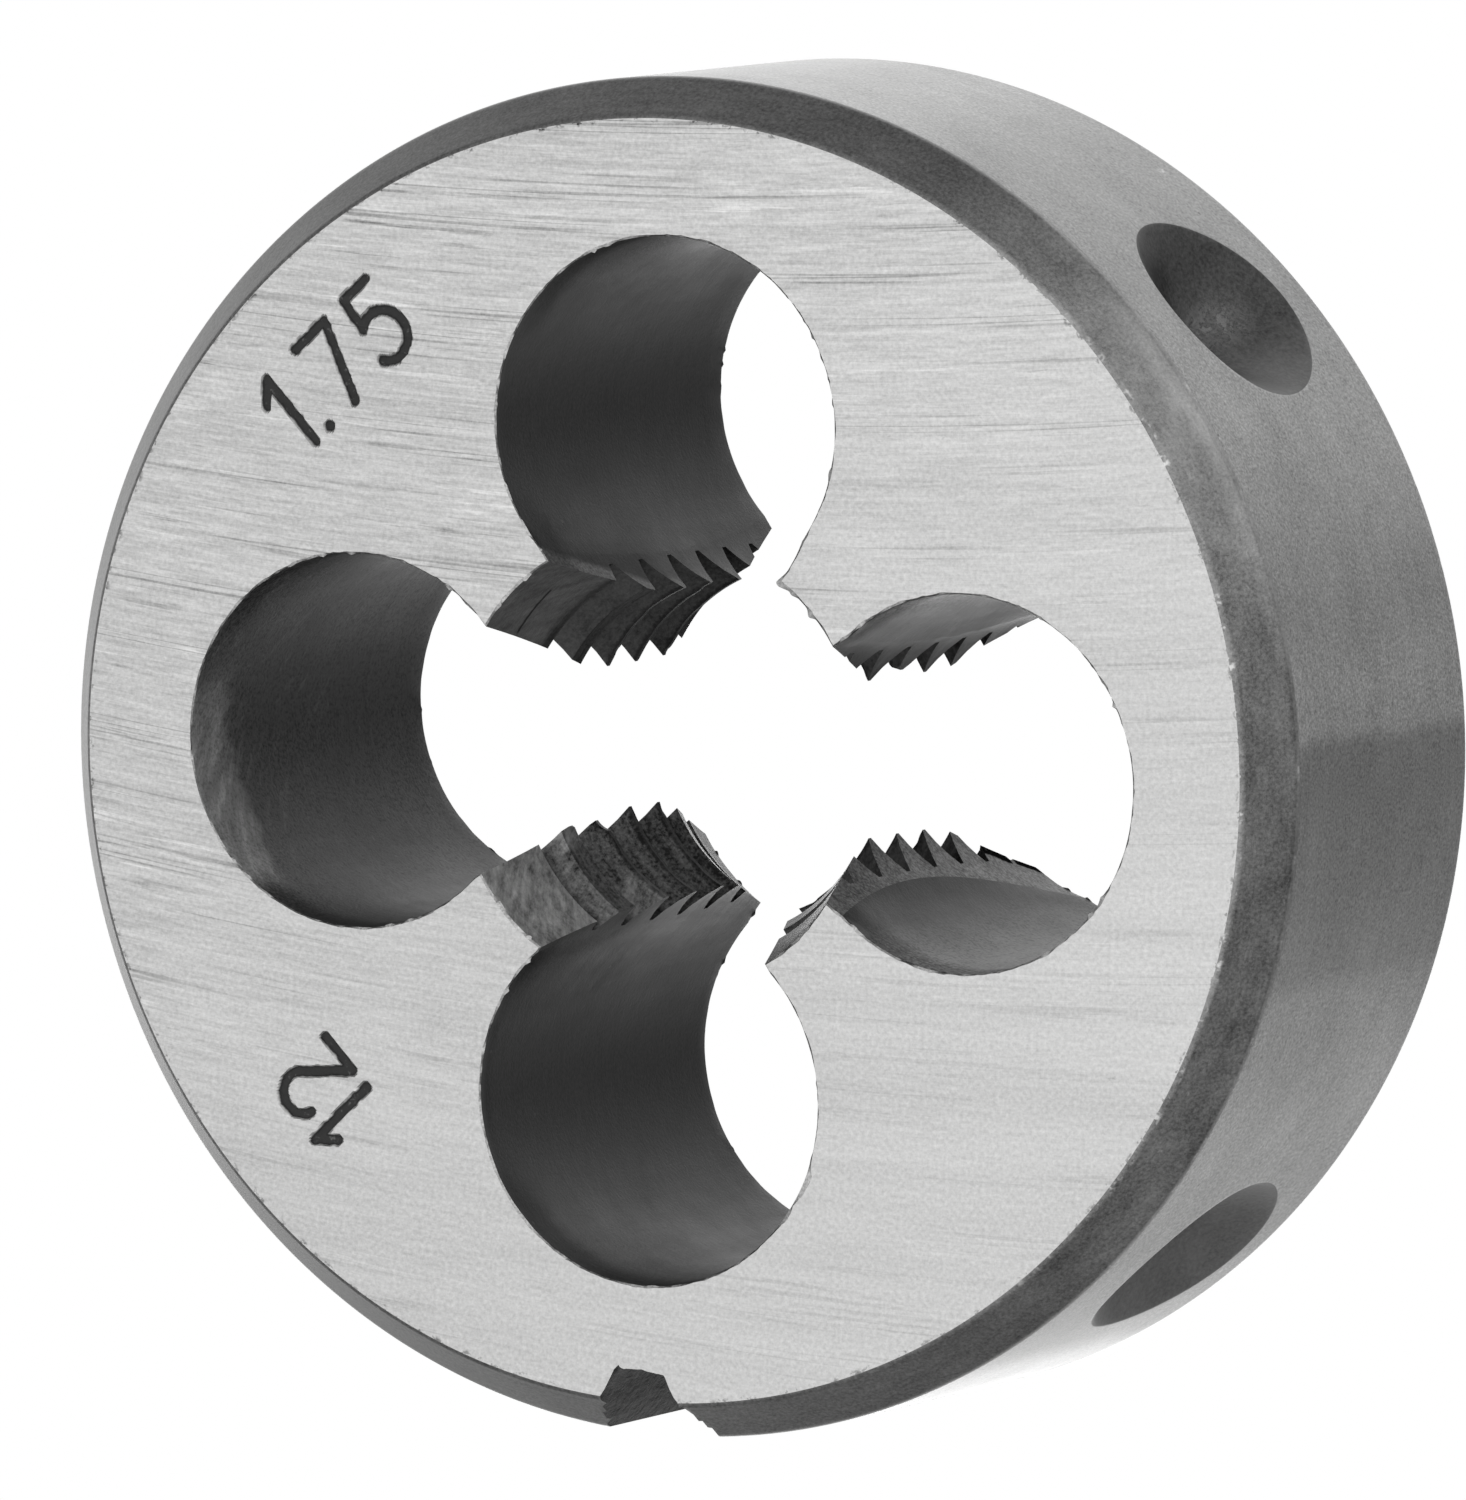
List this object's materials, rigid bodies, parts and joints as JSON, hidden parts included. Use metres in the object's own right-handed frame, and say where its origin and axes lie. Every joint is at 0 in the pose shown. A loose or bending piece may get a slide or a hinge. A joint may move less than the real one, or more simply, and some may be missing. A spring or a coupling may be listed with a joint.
{
  "type": "round threading die",
  "caption": "Round steel threading die: thick chamfered disc with a cloverleaf of chip holes, threaded cutting lands, a slitting notch and conical screw seats in the rim.",
  "frame": {"origin": "centre of the rear face, on the axis of the die, where it rests on a flat surface", "axes": "+Z along the axis towards the front (entry) face; -Y towards the slitting notch; +X towards one chip hole"},
  "size_m": [0.038, 0.0379, 0.014],
  "materials": {
    "die_steel": "ground faces, darker turned chamfers and dark drilled holes"
  },
  "bodies": {
    "root": {"threading_die": "die_steel"}
  },
  "joints": []
}
